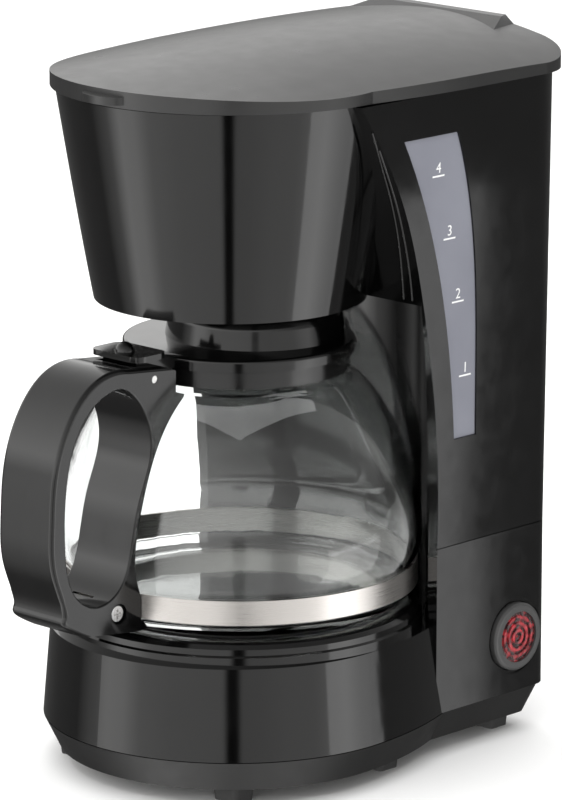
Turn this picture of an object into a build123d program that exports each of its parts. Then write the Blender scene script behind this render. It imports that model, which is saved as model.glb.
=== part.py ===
"""Four-cup drip coffee maker: an assembly of separate casings, plumbing, heater, switch and glass jug.

Frame: millimetres, +Z up, the foot pads stand on z = 0, the jug handle points to -Y, the lid is hinged at
the rear (+Y), and the water window and power button are on the +X side.
"""
import os

from build123d import *

# ---------------------------------------------------------------- driving dimensions
handle_reach = 102.6          # jug axis to the outer face of the handle
rear_reach = 105.4            # jug axis to the rear face of the lid
jug_y = (handle_reach - rear_reach) / 2
wall = 2.4                    # moulded casing wall
fit = 0.3                     # gap between pieces that only sit beside each other

foot_height = 5.6
seam_z = 16.8                 # bottom plate meets the base shell
rim_z = 49.0                  # top of the base cone
ring_top_z = 56.8             # raised ring round the hotplate
plate_top_z = 57.2            # hotplate face that the jug stands on
split_z = 76.8                # base shell meets the upper housing
head_floor_z = 165.3          # underside of the brew head
body_top_z = 238.9            # top edge of the upper housing
lid_edge_z = 243.6            # top edge of the lid's rim
lid_peak_z = 253.0

cone_y = jug_y - 3.0          # centre of the round front of the base
cone_seam_radius = 67.0
cone_rim_radius = 64.3
column_front_y = jug_y + 38.3
column_low_half = 58.4
column_top_half = 64.2
column_low_rear = jug_y + 98.0
column_top_rear = jug_y + 100.0
column_low_corner = 7.0
column_top_corner = 17.0
jug_bay_radius = 66.3         # concave front of the column, round the jug
head_y = jug_y - 4.5          # axis of the brew head
head_top_radius = 59.8
basket_bay_radius = 52.6      # the tank's front wall, round the filter holder

glass_radius = 63.4
glass_wall = 2.2
neck_radius = 36.9
collar_low_z = 139.9
collar_top_z = 145.5

button_y = jug_y + 79.5
button_z = 37.0
button_radius = 12.3
lens_radius = 9.1
hinge_y = jug_y + 101.0
hinge_z = 244.4
hinge_pin_radius = 1.5
lug_x = 24.0

plate_screw_reach = 18.0
rear_screw_x = 46.0
rear_screw_y = jug_y + 58.0
screw_places = [
    (-30.0, jug_y - 48.0),
    (30.0, jug_y - 48.0),
    (-rear_screw_x, rear_screw_y),
    (rear_screw_x, rear_screw_y),
]
foot_places = [
    (side * x, jug_y + y)
    for side in (-1, 1)
    for x, y in ((38.0, -42.0), (48.0, 20.0), (42.0, 84.0))
]
housing_screw_places = [(-51.0, jug_y + 86.0), (51.0, jug_y + 86.0)]
inlet_place = (-20.0, jug_y + 84.0)     # tank outlet to the heater
riser_place = (20.0, jug_y + 84.0)      # heater back up to the spout


# ---------------------------------------------------------------- shared outlines
def egg_outline(radius):
    """Plan of the round base front, widening rearwards until it runs into the column."""
    side = radius * 0.985
    with BuildSketch() as outline:
        with BuildLine():
            front = (0, cone_y - radius)
            flank = (radius, cone_y)
            ThreePointArc(front, (radius * 0.7071, cone_y - radius * 0.7071), flank)
            ThreePointArc(flank, (side * 0.965, jug_y + 24.0), (radius - 10.5, jug_y + 46.0))
            Line((radius - 10.5, jug_y + 46.0), (0, jug_y + 60.0))
            mirror(about=Plane.YZ)
        make_face()
    return outline.sketch


def column_outline(half_width, rear_y, corner, front_y):
    """Plan of the rear column: a rectangle with rounded rear corners."""
    with BuildSketch() as outline:
        with BuildLine():
            Line((0, front_y), (half_width, front_y))
            Line((half_width, front_y), (half_width, rear_y - corner))
            JernArc((half_width, rear_y - corner), (0, 1), corner, 90)
            Line((half_width - corner, rear_y), (0, rear_y))
            mirror(about=Plane.YZ)
        make_face()
    return outline.sketch


def column_solid(inset):
    """Upper column, drafted outwards, with its front edge sweeping forward to the lid."""
    with BuildPart() as body:
        low_half = column_low_half - inset
        top_half = column_top_half - inset
        with BuildSketch(Plane.XY.offset(split_z)):
            add(column_outline(low_half, column_low_rear - inset, column_low_corner, jug_y - 20.0))
        with BuildSketch(Plane.XY.offset(body_top_z)):
            top_corner = column_top_corner - inset / 2
            add(column_outline(top_half, column_top_rear - inset, top_corner, jug_y - 20.0))
        loft()
        with BuildSketch(Plane.YZ):
            with BuildLine():
                lean = Spline(
                    (jug_y + 38.3 + inset, split_z),
                    (jug_y + 35.8 + inset, 119.0),
                    (jug_y + 27.3 + inset, 164.5),
                    (jug_y + 15.4 + inset, 202.0),
                    (jug_y + 0.4 + inset, 228.3),
                    (jug_y - 7.0 + inset, body_top_z),
                )
                Line(lean @ 1, (jug_y + 120.0, body_top_z))
                Line((jug_y + 120.0, body_top_z), (jug_y + 120.0, split_z))
                Line((jug_y + 120.0, split_z), lean @ 0)
            make_face()
        extrude(amount=90.0, both=True, mode=Mode.INTERSECT)
        with BuildSketch(Plane.XY.offset(split_z)):
            with Locations((0, jug_y)):
                Circle(jug_bay_radius + inset)
        extrude(amount=head_floor_z + inset - split_z, mode=Mode.SUBTRACT)
    return body.part


def head_solid(inset, floor_z):
    """Brew head: a slightly bellied bucket, revolved about its own axis."""
    with BuildPart() as body:
        with BuildSketch(Plane.XZ.offset(-head_y)):
            with BuildLine():
                side = Spline(
                    (47.2 - inset, head_floor_z),
                    (52.2 - inset, 193.0),
                    (56.4 - inset, 218.0),
                    (head_top_radius - inset, body_top_z),
                )
                Line(side @ 1, (0, body_top_z))
                Line((0, body_top_z), (0, head_floor_z))
                Line((0, head_floor_z), side @ 0)
            make_face()
        revolve(axis=Axis((0, head_y, 0), (0, 0, 1)))
        if floor_z > head_floor_z:
            split(bisect_by=Plane.XY.offset(floor_z))
    return body.part


def tube_run(points, radii, outer, inner):
    """A hose: straight runs joined by tangent bends, hollow along its length."""
    with BuildPart() as hose:
        with BuildLine() as route:
            FilletPolyline(*points, radius=radii)
        with BuildSketch(Plane(origin=route.line @ 0, z_dir=route.line % 0)):
            Circle(outer)
            Circle(inner, mode=Mode.SUBTRACT)
        sweep(path=route.line)
    return hose


def finish(piece, name):
    """Label a finished piece and write it to its own file."""
    piece.part.label = name
    export_step(piece.part, f"parts/{name}.step")


os.makedirs("parts", exist_ok=True)


# ---------------------------------------------------------------- base
plate_draft = 26.0
plate_height = seam_z - fit - foot_height
with BuildPart() as bottom_plate:
    with BuildSketch(Plane.XY.offset(seam_z - fit)):
        add(egg_outline(cone_seam_radius))
    extrude(amount=-plate_height, taper=plate_draft)
    with BuildSketch(Plane.XY.offset(seam_z - fit)):
        add(column_outline(column_low_half - 0.6, column_low_rear, column_low_corner + 2.0, jug_y + 30.0))
    extrude(amount=-plate_height, taper=plate_draft)
    with BuildSketch(Plane.XY.offset(seam_z - fit)):
        add(egg_outline(cone_seam_radius - 8.5))
        add(column_outline(column_low_half - 8.5, column_low_rear - 8.0, 5.0, jug_y + 30.0))
    extrude(amount=-(plate_height - wall), mode=Mode.SUBTRACT)
    with BuildSketch(Plane.XY.offset(foot_height)):
        with Locations(*screw_places):
            Circle(5.5)
    extrude(amount=plate_height)
    with BuildSketch(Plane.XY.offset(foot_height)):
        with Locations(*screw_places):
            Circle(1.8)
    extrude(amount=plate_height, mode=Mode.SUBTRACT)
    with BuildSketch(Plane.XY.offset(foot_height)):
        with Locations(*screw_places):
            Circle(3.5)
    extrude(amount=4.0, mode=Mode.SUBTRACT)
    with BuildSketch(Plane.XY.offset(foot_height)):
        with Locations((0, jug_y + 10.0)):
            with GridLocations(0, 9.0, 1, 5):
                SlotOverall(40.0, 2.5)
    extrude(amount=wall, mode=Mode.SUBTRACT)
finish(bottom_plate, "bottom_plate")

with BuildPart() as rubber_feet:
    with BuildSketch(Plane.XY.offset(foot_height)):
        with Locations(*foot_places):
            RectangleRounded(12.0, 10.0, 2.0)
    extrude(amount=-foot_height, taper=7.0)
finish(rubber_feet, "rubber_feet")

with BuildPart() as base_screws:
    with BuildSketch(Plane.XY.offset(foot_height + 1.6)):
        with Locations(*screw_places):
            Circle(3.1)
            RegularPolygon(1.3, 4, mode=Mode.SUBTRACT)
    extrude(amount=2.4)
    with BuildSketch(Plane.XY.offset(foot_height + 2.6)):
        with Locations(*screw_places):
            Circle(1.5)
    extrude(amount=plate_screw_reach)
finish(base_screws, "base_screws")

cone_draft = 4.8
deck_z = ring_top_z - 2.2
drum_radius = 64.0
column_draft_height = split_z - seam_z
with BuildPart() as base_cavity:
    with BuildSketch(Plane.XY.offset(seam_z)):
        add(egg_outline(cone_seam_radius - wall))
    extrude(amount=rim_z - wall - seam_z, taper=cone_draft)
    with BuildSketch(Plane.XY.offset(rim_z - wall)):
        with Locations((0, jug_y)):
            Circle(drum_radius - 3.4)
    extrude(amount=deck_z - 2.2 - rim_z + wall)
    with BuildSketch(Plane.XY.offset(seam_z)):
        add(column_outline(column_low_half - wall, column_low_rear - wall, column_low_corner, jug_y + 41.0))
    extrude(amount=rim_z - wall - seam_z)
    with BuildSketch(Plane.XY.offset(rim_z - wall)):
        add(column_outline(column_low_half - wall, column_low_rear - wall, column_low_corner, jug_y + 41.0))
        with Locations((0, jug_y)):
            Circle(jug_bay_radius + wall, mode=Mode.SUBTRACT)
    extrude(amount=split_z - rim_z + wall)

with BuildPart() as base_shell:
    with BuildSketch(Plane.XY.offset(seam_z)):
        add(egg_outline(cone_seam_radius))
    extrude(amount=rim_z - seam_z, taper=cone_draft)
    with BuildSketch(Plane.XY.offset(seam_z)):
        add(column_outline(column_low_half, column_low_rear, column_low_corner, column_front_y))
    extrude(amount=column_draft_height - fit)
    with BuildSketch(Plane.XY.offset(rim_z)):
        with Locations((0, jug_y)):
            Circle(jug_bay_radius)
    extrude(amount=column_draft_height, mode=Mode.SUBTRACT)
    with BuildSketch(Plane.XZ.offset(-jug_y)):
        with BuildLine():
            Polyline(
                (0, rim_z - wall),
                (drum_radius, rim_z - wall),
                (drum_radius, 52.2),
                (drum_radius - 0.9, 52.8),
                (drum_radius - 0.9, 54.9),
                (drum_radius - 2.4, ring_top_z - 0.6),
                (drum_radius - 3.4, ring_top_z),
                (57.0, ring_top_z),
                (55.6, deck_z + 1.4),
                (51.4, deck_z + 1.4),
                (51.4, deck_z),
                (0, deck_z),
                close=True,
            )
        make_face()
    revolve(axis=Axis((0, jug_y, 0), (0, 0, 1)))
    add(base_cavity.part, mode=Mode.SUBTRACT)
    with BuildSketch(Plane.XY.offset(deck_z - 3.0)):
        with Locations((0, jug_y)):
            Circle(46.0)
    extrude(amount=6.0, mode=Mode.SUBTRACT)
    with BuildSketch(Plane.XY.offset(seam_z)):
        with Locations(*screw_places):
            Circle(4.4)
        with Locations((-rear_screw_x - 6.0, rear_screw_y), (rear_screw_x + 6.0, rear_screw_y)):
            Rectangle(10.0, 2.4)
        with Locations((-30.0, jug_y - 54.0), (30.0, jug_y - 54.0)):
            Rectangle(2.4, 10.0)
    extrude(amount=15.0)
    with BuildSketch(Plane.XY.offset(seam_z)):
        with Locations(*screw_places):
            Circle(1.55)
    extrude(amount=14.0, mode=Mode.SUBTRACT)
    with BuildSketch(Plane.XY.offset(split_z - fit)):
        with Locations(*housing_screw_places):
            Circle(5.6)
    extrude(amount=-14.0)
    with BuildSketch(Plane.XY.offset(split_z - 20.0)):
        with Locations(*housing_screw_places):
            Circle(1.8)
    extrude(amount=20.0, mode=Mode.SUBTRACT)
    with BuildSketch(Plane.YZ.offset(column_low_half - wall - 2.0)):
        with Locations((button_y, button_z)):
            Circle(button_radius + fit)
    extrude(amount=10.0, mode=Mode.SUBTRACT)
    with BuildSketch(Plane.YZ.offset(column_low_half - 0.5)):
        with Locations((button_y, button_z)):
            Circle(button_radius + 1.4)
    extrude(amount=5.0, mode=Mode.SUBTRACT)
    with BuildSketch(Plane.XZ.offset(-(column_low_rear - wall - 2.0))):
        with Locations((-30.0, 28.0)):
            Circle(5.0)
    extrude(amount=-10.0, mode=Mode.SUBTRACT)
finish(base_shell, "base_shell")

# ---------------------------------------------------------------- hotplate and heater
plate_radius = 51.0
with BuildPart() as hotplate:
    with BuildSketch(Plane.XY.offset(deck_z + 1.2)):
        with Locations((0, jug_y)):
            Circle(plate_radius)
    extrude(amount=plate_top_z - deck_z - 1.2)
    fillet(hotplate.edges().group_by(Axis.Z)[-1], 0.8)
    with BuildSketch(Plane.XY.offset(deck_z + 1.2)):
        with Locations((0, jug_y)):
            Circle(2.0)
    extrude(amount=-27.0)
finish(hotplate, "hotplate")

with BuildPart() as hotplate_gasket:
    with BuildSketch(Plane.XY.offset(deck_z)):
        with Locations((0, jug_y)):
            Circle(plate_radius - 0.2)
            Circle(46.6, mode=Mode.SUBTRACT)
    extrude(amount=1.2)
finish(hotplate_gasket, "hotplate_gasket")

tube_radius = 4.6
tube_bore = 3.2
heater_bend = 33.5
tube_z = 39.0
element_low_z = tube_z + tube_radius
element_half = 4.5
leg_y = 21.0
with BuildPart() as heating_element:
    with BuildSketch(Plane.XY.offset(element_low_z)):
        with Locations((0, jug_y)):
            Circle(heater_bend + element_half)
        with Locations((0, jug_y + leg_y / 2)):
            Rectangle(2 * (heater_bend + element_half), leg_y)
        with Locations((0, jug_y)):
            Circle(heater_bend - element_half, mode=Mode.SUBTRACT)
        with Locations((0, jug_y + 30.0)):
            Rectangle(2 * (heater_bend - element_half), 60.0, mode=Mode.SUBTRACT)
    extrude(amount=deck_z + 1.2 - element_low_z)
finish(heating_element, "heating_element")

tube_end_y = jug_y + 46.0
heater_route = [
    (-heater_bend, tube_end_y, tube_z),
    (-heater_bend, jug_y - heater_bend, tube_z),
    (heater_bend, jug_y - heater_bend, tube_z),
    (heater_bend, tube_end_y, tube_z),
]
heater_water_tube = tube_run(heater_route, heater_bend - 0.2, tube_radius, tube_bore)
finish(heater_water_tube, "heater_water_tube")

clamp_z = tube_z - tube_radius - 2.0
with BuildPart() as heater_clamp:
    with BuildSketch(Plane.XY.offset(clamp_z)):
        with Locations((0, jug_y)):
            RectangleRounded(2 * heater_bend + 12.0, 13.0, 3.0)
            Circle(2.2, mode=Mode.SUBTRACT)
    extrude(amount=2.0)
finish(heater_clamp, "heater_clamp")

with BuildPart() as clamp_nut:
    with BuildSketch(Plane.XY.offset(clamp_z)):
        with Locations((0, jug_y)):
            RegularPolygon(4.0, 6)
            Circle(2.05, mode=Mode.SUBTRACT)
    extrude(amount=-3.2)
finish(clamp_nut, "clamp_nut")

with BuildPart() as thermostat:
    with BuildSketch(Plane.XY.offset(deck_z + 1.2)):
        with Locations((0, jug_y + 17.0)):
            Circle(8.0)
    extrude(amount=-7.5)
    with BuildSketch(Plane.XY.offset(deck_z - 6.3)):
        with Locations((-4.0, jug_y + 17.0), (4.0, jug_y + 17.0)):
            Rectangle(1.0, 4.8)
    extrude(amount=-7.0)
finish(thermostat, "thermostat")

with BuildPart() as thermal_fuse:
    with BuildSketch(Plane.YZ.offset(-11.0)):
        with Locations((jug_y - 16.0, deck_z - 2.0)):
            Circle(2.6)
    extrude(amount=22.0)
finish(thermal_fuse, "thermal_fuse")

# ---------------------------------------------------------------- hoses
hose_radius = 6.2
hose_bore = tube_radius + 0.05
hose_top_z = 87.0


def hose_route(place, side):
    """Down from the tank floor, forward under the hotplate deck, onto the end of the heater tube."""
    x, y = place
    return [
        (x, y, hose_top_z),
        (x, y, tube_z),
        (side * heater_bend, jug_y + 52.0, tube_z),
        (side * heater_bend, tube_end_y - 9.0, tube_z),
    ]


cold_hose = tube_run(hose_route(inlet_place, -1), [11.0, 20.0], hose_radius, hose_bore)
finish(cold_hose, "cold_hose")

hot_hose = tube_run(hose_route(riser_place, 1), [11.0, 20.0], hose_radius, hose_bore)
finish(hot_hose, "hot_hose")

with BuildPart() as hose_clips:
    for x, y in (inlet_place, riser_place):
        with BuildSketch(Plane.XY.offset(80.5)):
            with Locations((x, y)):
                Circle(hose_radius + 1.1)
                Circle(hose_radius + 0.05, mode=Mode.SUBTRACT)
        extrude(amount=4.5)
    with BuildSketch(Plane.XZ.offset(-(tube_end_y - 6.0))):
        with Locations((-heater_bend, tube_z), (heater_bend, tube_z)):
            Circle(hose_radius + 1.1)
            Circle(hose_radius + 0.05, mode=Mode.SUBTRACT)
    extrude(amount=4.5)
finish(hose_clips, "hose_clips")

# ---------------------------------------------------------------- power switch
cap_face_x = column_low_half + 1.9
cap_back_x = 52.6
cap_travel = 2.5
with BuildPart() as power_button:
    with BuildSketch(Plane.YZ.offset(cap_back_x)):
        with Locations((button_y, button_z)):
            Circle(button_radius)
    extrude(amount=cap_face_x - cap_back_x)
    fillet(power_button.edges().group_by(Axis.X)[-1], 1.2)
    with BuildSketch(Plane.YZ.offset(cap_face_x - 2.6)):
        with Locations((button_y, button_z)):
            Circle(lens_radius + 0.1)
    extrude(amount=5.0, mode=Mode.SUBTRACT)
    with BuildSketch(Plane.YZ.offset(cap_back_x)):
        with Locations((button_y, button_z)):
            Circle(5.0)
    extrude(amount=-4.0)
finish(power_button, "power_button")

with BuildPart() as button_lens:
    with BuildSketch(Plane.YZ.offset(cap_face_x - 2.6)):
        with Locations((button_y, button_z)):
            Circle(lens_radius)
    extrude(amount=1.8)
    for ring_radius in (7.6, 5.2, 2.8):
        with BuildSketch(Plane.YZ.offset(cap_face_x - 0.8)):
            with Locations((button_y, button_z)):
                Circle(ring_radius)
                Circle(ring_radius - 1.2, mode=Mode.SUBTRACT)
        extrude(amount=0.5)
finish(button_lens, "button_lens")

with BuildPart() as switch_body:
    with BuildSketch(Plane.YZ.offset(cap_back_x - 4.0 - cap_travel - 1.0)):
        with Locations((button_y, button_z)):
            RectangleRounded(20.0, 22.0, 1.5)
    extrude(amount=-9.5)
    with BuildSketch(Plane.YZ.offset(cap_back_x - cap_travel - 14.5)):
        with Locations((button_y - 4.5, button_z), (button_y + 4.5, button_z)):
            Rectangle(0.8, 4.8)
    extrude(amount=-6.0)
finish(switch_body, "switch_body")

with BuildPart() as switch_bracket:
    with BuildSketch(Plane.YZ.offset(cap_back_x - 4.0 - cap_travel - 1.0)):
        with Locations((button_y - 1.0, button_z)):
            Rectangle(27.0, 27.0)
        with Locations((button_y, button_z)):
            Circle(8.0, mode=Mode.SUBTRACT)
    extrude(amount=1.0)
    with BuildSketch(Plane.YZ.offset(cap_back_x - cap_travel - 4.0)):
        with Locations((button_y - 14.0, button_z)):
            Rectangle(1.0, 27.0)
    extrude(amount=column_low_half - wall - cap_back_x + cap_travel + 4.0)
finish(switch_bracket, "switch_bracket")

with BuildPart() as cord_gland:
    with BuildSketch(Plane.XZ.offset(-(column_low_rear - wall - 3.0))):
        with Locations((-30.0, 28.0)):
            Circle(4.9)
    extrude(amount=-(wall + 3.0))
    with BuildSketch(Plane.XZ.offset(-column_low_rear)):
        with Locations((-30.0, 28.0)):
            Circle(6.6)
    extrude(amount=-3.0)
    with BuildSketch(Plane.XZ.offset(-(column_low_rear - wall))):
        with Locations((-30.0, 28.0)):
            Circle(6.6)
    extrude(amount=2.0)
    with BuildSketch(Plane.XZ.offset(-(column_low_rear - 8.0))):
        with Locations((-30.0, 28.0)):
            Circle(3.1)
    extrude(amount=-14.0, mode=Mode.SUBTRACT)
finish(cord_gland, "cord_gland")

# ---------------------------------------------------------------- upper housing: column and brew head
floor_top_z = split_z + wall
column_shell = column_solid(0.0)
column_space = column_solid(wall)


def window_outline(shrink):
    """Side view of the water window: it widens towards the lid and follows the column's front edge."""
    low, high = 115.0 + shrink, 224.4 - shrink
    with BuildSketch() as outline:
        with BuildLine():
            front = Spline(
                (jug_y + 45.0 + shrink, low),
                (jug_y + 42.1 + shrink, 139.6),
                (jug_y + 33.2 + shrink, 180.0),
                (jug_y + 14.6 + shrink, high),
            )
            rear = Spline(
                (jug_y + 41.8 - shrink, high),
                (jug_y + 50.2 - shrink, 195.0),
                (jug_y + 55.0 - shrink, 150.0),
                (jug_y + 56.4 - shrink, low),
            )
            Line(front @ 1, rear @ 0)
            Line(rear @ 1, front @ 0)
        make_face()
    return outline.sketch


lug_low_z = 231.0
with BuildPart() as main_housing:
    add(column_shell)
    add(head_solid(0.0, head_floor_z))
    for side in (-1, 1):
        with BuildSketch(Plane.YZ.offset(side * lug_x - 2.5)):
            with Locations((hinge_y, hinge_z)):
                Circle(3.2)
            Polygon(
                (hinge_y - 3.2, lug_low_z),
                (hinge_y - 1.5, lug_low_z),
                (hinge_y + 3.2, lug_low_z + 5.0),
                (hinge_y + 3.2, hinge_z),
                (hinge_y - 3.2, hinge_z),
                align=None,
            )
        extrude(amount=5.0)
    split(column_space, bisect_by=Plane.XY.offset(floor_top_z), mode=Mode.SUBTRACT)
    add(head_solid(wall, head_floor_z + wall), mode=Mode.SUBTRACT)
    with BuildSketch(Plane.XY.offset(head_floor_z - 1.0)):
        with Locations((0, head_y)):
            Circle(12.0)
    extrude(amount=6.0, mode=Mode.SUBTRACT)
    with BuildSketch(Plane.XY.offset(split_z - 1.0)):
        with Locations(inlet_place, riser_place):
            Circle(8.4)
    extrude(amount=6.0, mode=Mode.SUBTRACT)
    with BuildSketch(Plane.XY.offset(floor_top_z)):
        with Locations(*housing_screw_places):
            Circle(4.0)
    extrude(amount=7.0)
    with BuildSketch(Plane.XY.offset(split_z)):
        with Locations(*housing_screw_places):
            Circle(1.55)
    extrude(amount=wall + 6.0, mode=Mode.SUBTRACT)
    with BuildSketch(Plane.YZ.offset(column_low_half - 1.4)):
        add(window_outline(0.0))
    extrude(amount=14.0, mode=Mode.SUBTRACT)
    with BuildSketch(Plane.YZ.offset(-lug_x - 4.0)):
        with Locations((hinge_y, hinge_z)):
            Circle(hinge_pin_radius + 0.05)
    extrude(amount=2.0 * lug_x + 8.0, mode=Mode.SUBTRACT)
finish(main_housing, "main_housing")

with BuildPart() as housing_screws:
    with BuildSketch(Plane.XY.offset(split_z - 14.4)):
        with Locations(*housing_screw_places):
            Circle(1.5)
    extrude(amount=22.0)
    with BuildSketch(Plane.XY.offset(split_z - 14.4)):
        with Locations(*housing_screw_places):
            Circle(3.1)
    extrude(amount=-2.2)
finish(housing_screws, "housing_screws")

window_recess = 0.6
with BuildPart() as window_blank:
    with BuildSketch(Plane.YZ.offset(column_low_half - 1.4)):
        add(window_outline(0.1))
    extrude(amount=14.0)
    add(column_solid(window_recess), mode=Mode.INTERSECT)
    add(column_space, mode=Mode.SUBTRACT)

with BuildPart() as water_window:
    add(window_blank.part.solids().sort_by(SortBy.VOLUME)[-1])
finish(water_window, "water_window")

# ---------------------------------------------------------------- water tank and brewing parts
tank_floor_z = 90.0
tank_top_z = 226.0
tank_wall = 1.8
spigot_radius = tube_radius
spigot_bore = 3.4

with BuildPart() as tank_inside:
    add(column_solid(wall + fit + tank_wall))
    split(bisect_by=Plane.XY.offset(tank_floor_z + tank_wall))
    with BuildSketch(Plane.XY.offset(head_floor_z - 2.0)):
        with Locations((0, head_y)):
            Circle(basket_bay_radius + tank_wall)
    extrude(amount=90.0, mode=Mode.SUBTRACT)

with BuildPart() as water_tank:
    add(column_solid(wall + fit))
    split(bisect_by=Plane.XY.offset(tank_floor_z))
    split(bisect_by=Plane.XY.offset(tank_top_z), keep=Keep.BOTTOM)
    with BuildSketch(Plane.XY.offset(head_floor_z - 2.0)):
        with Locations((0, head_y)):
            Circle(basket_bay_radius)
    extrude(amount=90.0, mode=Mode.SUBTRACT)
    add(tank_inside.part, mode=Mode.SUBTRACT)
    with BuildSketch(Plane.XY.offset(tank_floor_z)):
        with Locations(inlet_place, riser_place):
            Circle(spigot_radius)
    extrude(amount=-11.0)
    with BuildSketch(Plane.XY.offset(tank_floor_z)):
        with Locations(riser_place):
            Circle(spigot_radius)
    extrude(amount=10.0)
    with BuildSketch(Plane.XY.offset(tank_floor_z - 12.0)):
        with Locations(inlet_place, riser_place):
            Circle(spigot_bore)
    extrude(amount=24.0, mode=Mode.SUBTRACT)
finish(water_tank, "water_tank")

with BuildPart() as check_valve:
    with BuildSketch(Plane.XY.offset(tank_floor_z - 8.0)):
        with Locations(inlet_place):
            Circle(spigot_bore - 0.1)
            Circle(1.2, mode=Mode.SUBTRACT)
    extrude(amount=7.0)
finish(check_valve, "check_valve")

riser_top_z = 230.6
with BuildPart() as riser_tube:
    with BuildSketch(Plane.XY.offset(tank_floor_z + tank_wall + 0.4)):
        with Locations(riser_place):
            Circle(spigot_radius + 1.4)
            Circle(spigot_radius + 0.05, mode=Mode.SUBTRACT)
    extrude(amount=riser_top_z - tank_floor_z - tank_wall - 0.4)
finish(riser_tube, "riser_tube")

arm_z = riser_top_z
arm_route = [(riser_place[0], riser_place[1]), (12.0, jug_y + 52.0), (0, head_y)]
with BuildPart() as shower_arm:
    with BuildSketch(Plane.XY.offset(arm_z)):
        with BuildLine():
            Polyline(*arm_route)
        trace(line_width=15.0)
        with Locations((0, head_y)):
            Circle(15.0)
    extrude(amount=6.2)
    with BuildSketch(Plane.XY.offset(arm_z + 1.4)):
        with BuildLine():
            Polyline(*arm_route)
        trace(line_width=11.8)
        with Locations((0, head_y)):
            Circle(13.4)
    extrude(amount=3.4, mode=Mode.SUBTRACT)
    with BuildSketch(Plane.XY.offset(arm_z)):
        with Locations(riser_place):
            Circle(spigot_radius)
        with Locations((0, head_y)):
            with PolarLocations(9.0, 8):
                Circle(1.1)
            with PolarLocations(4.0, 4):
                Circle(1.1)
    extrude(amount=2.0, mode=Mode.SUBTRACT)
finish(shower_arm, "shower_arm")

foot_z = head_floor_z + wall
basket_floor_z = 178.0
basket_rim_z = 226.0
basket_radius = 50.6
outlet_radius = 4.2
with BuildPart() as filter_holder:
    with BuildSketch(Plane.XZ.offset(-head_y)):
        with BuildLine():
            Polyline(
                (22.0, foot_z),
                (24.0, foot_z),
                (24.0, basket_floor_z + 1.0),
                (basket_radius - 1.4, basket_rim_z - 2.0),
                (basket_radius + 1.0, basket_rim_z - 2.0),
                (basket_radius + 1.0, basket_rim_z),
                (basket_radius - 3.2, basket_rim_z),
                (23.0, basket_floor_z + 3.0),
                (outlet_radius, basket_floor_z + 2.0),
                (outlet_radius, basket_floor_z),
                (22.0, basket_floor_z),
                close=True,
            )
        make_face()
    revolve(axis=Axis((0, head_y, 0), (0, 0, 1)))
finish(filter_holder, "filter_holder")

stem_radius = 2.4
stem_tip_z = 162.7
stem_flange_z = 166.4
valve_lift = 3.0
with BuildPart() as drip_stop_stem:
    with BuildSketch(Plane.XZ.offset(-head_y)):
        with BuildLine():
            Polyline(
                (0, stem_tip_z),
                (3.0, stem_tip_z),
                (3.6, stem_tip_z + 0.8),
                (3.6, stem_flange_z),
                (8.0, stem_flange_z),
                (8.0, stem_flange_z + 1.4),
                (stem_radius, stem_flange_z + 1.4),
                (stem_radius, basket_floor_z + 6.4),
                (0, basket_floor_z + 6.4),
                close=True,
            )
        make_face()
    revolve(axis=Axis((0, head_y, 0), (0, 0, 1)))
finish(drip_stop_stem, "drip_stop_stem")

with BuildPart() as drip_stop_seal:
    with BuildSketch(Plane.XY.offset(basket_floor_z + 2.3)):
        with Locations((0, head_y)):
            Circle(6.6)
            Circle(stem_radius, mode=Mode.SUBTRACT)
    extrude(amount=2.4)
finish(drip_stop_seal, "drip_stop_seal")

spring_low_z = stem_flange_z + 1.4
spring_free = basket_floor_z - spring_low_z
spring_wire = 0.45
spring_coil = 5.6
with BuildPart() as drip_stop_spring:
    with BuildLine():
        coil = Helix(
            pitch=(spring_free - 2.6 * spring_wire) / 4.0,
            height=spring_free - 2.6 * spring_wire,
            radius=spring_coil,
            center=(0, head_y, spring_low_z + 1.3 * spring_wire),
        )
    with BuildSketch(Plane(origin=coil @ 0, z_dir=coil % 0)):
        Circle(spring_wire)
    sweep(path=coil, is_frenet=True)
finish(drip_stop_spring, "drip_stop_spring")

# ---------------------------------------------------------------- lid
lid_floor_z = body_top_z + 0.4
lid_wall = 2.2


def lid_outline(inset):
    """Plan of the lid: round at the front, widest beside the tank, with large rear corners."""
    with BuildSketch() as outline:
        with BuildLine():
            flank = (62.8, jug_y)
            shoulder = (66.5, jug_y + 46.0)
            ThreePointArc((0, jug_y - 65.0), (45.6, jug_y - 46.0), flank)
            ThreePointArc(flank, (65.4, jug_y + 22.0), shoulder)
            Line(shoulder, (66.5, jug_y + 84.0))
            ThreePointArc((66.5, jug_y + 84.0), (60.0, jug_y + 98.6), (45.0, jug_y + rear_reach))
            Line((45.0, jug_y + rear_reach), (0, jug_y + rear_reach))
            mirror(about=Plane.YZ)
        make_face()
        if inset:
            offset(amount=-inset)
    return outline.sketch


def lid_section(y, half, crown, drop):
    """One cross-section of the domed lid: flat below, a single arc over the top."""
    arc_radius = (half**2 + crown**2) / (2.0 * crown)
    edge = lid_edge_z + crown - arc_radius + (arc_radius**2 - 70.0**2) ** 0.5 - drop
    with BuildSketch(Plane.XZ.offset(-y)) as section:
        with BuildLine():
            ThreePointArc((-70.0, edge), (0, lid_edge_z + crown - drop), (70.0, edge))
            Polyline((70.0, edge), (70.0, lid_floor_z - 12.0), (-70.0, lid_floor_z - 12.0), (-70.0, edge))
        make_face()
    return section.sketch


def lid_dome(drop):
    """The lid's crown, swept from a nearly flat front lip to the high rear."""
    with BuildPart() as dome:
        for y, half, crown in (
            (jug_y - 75.0, 30.0, 0.6),
            (jug_y - 30.0, 55.0, 4.6),
            (jug_y + 15.0, 64.5, 7.8),
            (jug_y + 60.0, 66.5, 9.4),
            (jug_y + rear_reach + 6.0, 62.0, 8.4),
        ):
            add(lid_section(y, half, crown, drop))
        loft()
    return dome.part


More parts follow.
